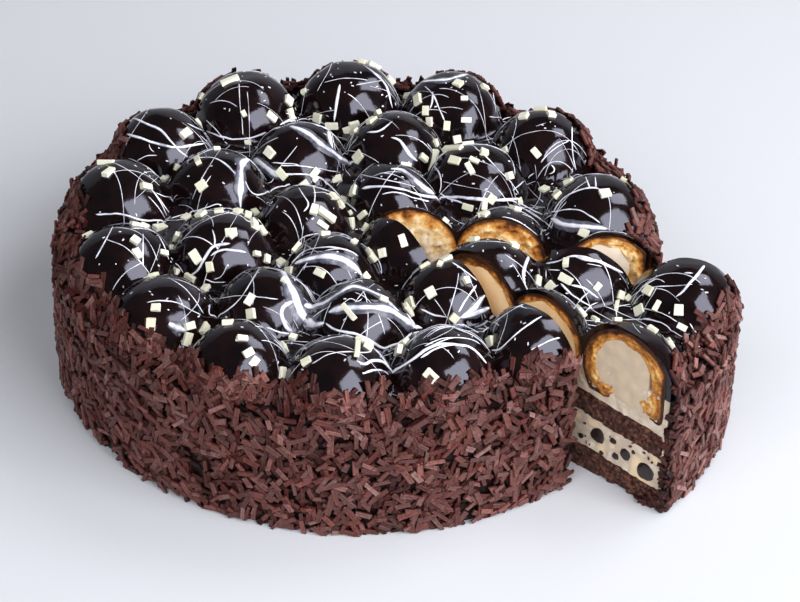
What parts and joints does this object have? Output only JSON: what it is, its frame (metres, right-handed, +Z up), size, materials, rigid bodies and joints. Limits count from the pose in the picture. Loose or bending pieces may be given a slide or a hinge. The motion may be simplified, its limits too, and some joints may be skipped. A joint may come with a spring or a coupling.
{
  "type": "profiterole cake",
  "caption": "Round layered cream cake topped with chocolate-glazed profiteroles and white chocolate drizzle, coated in chocolate flakes, with one wedge slice drawn part-way out.",
  "frame": {"origin": "bottom centre of the box round the cake and its slice", "axes": "+Z up out of the top, +X to the side where the slice is drawn out, +Y away from the viewer"},
  "size_m": [0.2672, 0.2394, 0.0734],
  "materials": {
    "chocolate_sponge": "dark, moist, crumbly chocolate sponge",
    "cream": "soft beige whipped cream with a satin sheen",
    "choux": "golden baked choux pastry with open crumb and a darker crust",
    "chocolate_glaze": "very glossy dark chocolate glaze",
    "chocolate_flakes": "matt milk and dark chocolate flakes, pressed on loosely",
    "chocolate_balls": "satin dark chocolate balls",
    "white_chocolate": "satin ivory white chocolate"
  },
  "bodies": {
    "root": {"base_sponge": "chocolate_sponge", "choux_inner_01": "choux", "choux_inner_02": "choux", "choux_inner_03_1": "choux", "choux_inner_03_2": "choux", "choux_inner_04": "choux", "choux_middle_01": "choux", "choux_middle_02": "choux", "choux_middle_03": "choux", "choux_middle_04": "choux", "choux_middle_05": "choux", "choux_middle_06": "choux", "choux_middle_07": "choux", "choux_middle_08": "choux", "choux_middle_09": "choux", "choux_outer_01": "choux", "choux_outer_02": "choux", "choux_outer_03": "choux", "choux_outer_04": "choux", "choux_outer_05": "choux", "choux_outer_06": "choux", "choux_outer_07": "choux", "choux_outer_08": "choux", "choux_outer_09": "choux", "choux_outer_10": "choux", "choux_outer_11": "choux", "choux_outer_12": "choux", "choux_outer_13": "choux", "choux_outer_14": "choux", "filling_inner_03": "cream", "filling_middle_05": "cream", "filling_middle_06": "cream", "filling_outer_07": "cream", "filling_outer_08": "cream", "glaze": "chocolate_glaze", "lower_cream": "cream", "middle_sponge": "chocolate_sponge", "side_coat": "chocolate_flakes", "slice_base_sponge": "chocolate_sponge", "slice_chocolate_ball_1": "chocolate_balls", "slice_chocolate_ball_2": "chocolate_balls", "slice_chocolate_ball_3": "chocolate_balls", "slice_choux_inner_03": "choux", "slice_choux_middle_05": "choux", "slice_choux_middle_06": "choux", "slice_choux_outer_07": "choux", "slice_choux_outer_08": "choux", "slice_filling_inner_03": "cream", "slice_filling_middle_05": "cream", "slice_filling_middle_06": "cream", "slice_filling_outer_07": "cream", "slice_filling_outer_08": "cream", "slice_glaze": "chocolate_glaze", "slice_lower_cream": "cream", "slice_middle_sponge": "chocolate_sponge", "slice_side_coat": "chocolate_flakes", "slice_upper_cream": "cream", "upper_cream": "cream"}
  },
  "joints": []
}
